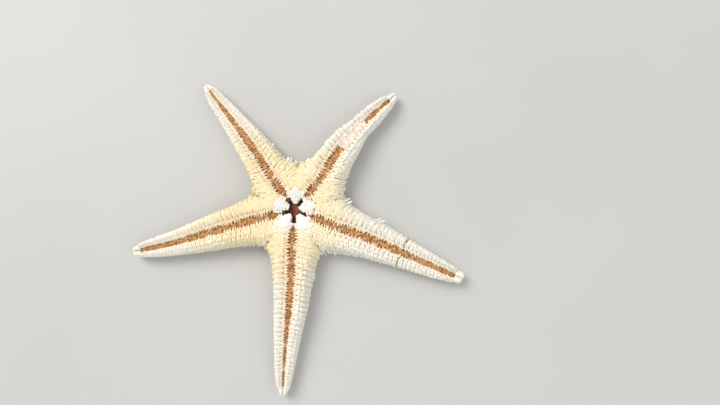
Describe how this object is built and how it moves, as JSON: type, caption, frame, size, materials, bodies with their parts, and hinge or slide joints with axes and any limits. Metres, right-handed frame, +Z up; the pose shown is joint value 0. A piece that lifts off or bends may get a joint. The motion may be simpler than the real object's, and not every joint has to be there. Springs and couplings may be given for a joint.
{
  "type": "starfish",
  "caption": "Dried sand star lying on its back: five tapering plated arms with a furrow of tube feet, a fringe of short spines and a star-shaped mouth.",
  "frame": {"origin": "on the surface that the body rests on, straight below the centre of the mouth", "axes": "+Z up, out of the mouth; -Y along the longest arm; +X to the right as seen from above with that arm pointing to the viewer"},
  "size_m": [0.0595, 0.0551, 0.005],
  "materials": {
    "plates": "matte, chalky dried plates",
    "tube_feet": "matte, dried and wrinkled",
    "jaws": "matte, bone white",
    "mouth_skin": "matte, dark dried skin",
    "sieve_plate": "matte, finely grooved"
  },
  "bodies": {
    "root": {"disc": "plates", "arm_front": "plates", "arm_front_tube_feet": "tube_feet", "arm_front_eye_plate": "plates", "arm_right": "plates", "arm_right_tube_feet": "tube_feet", "arm_right_eye_plate": "plates", "arm_back_right": "plates", "arm_back_right_tube_feet": "tube_feet", "arm_back_right_eye_plate": "plates", "arm_back_left": "plates", "arm_back_left_tube_feet": "tube_feet", "arm_back_left_eye_plate": "plates", "arm_left": "plates", "arm_left_tube_feet": "tube_feet", "arm_left_eye_plate": "plates", "jaw_1": "jaws", "jaw_2": "jaws", "jaw_3": "jaws", "jaw_4": "jaws", "jaw_5": "jaws", "mouth_skin": "mouth_skin", "sieve_plate": "sieve_plate"}
  },
  "joints": []
}
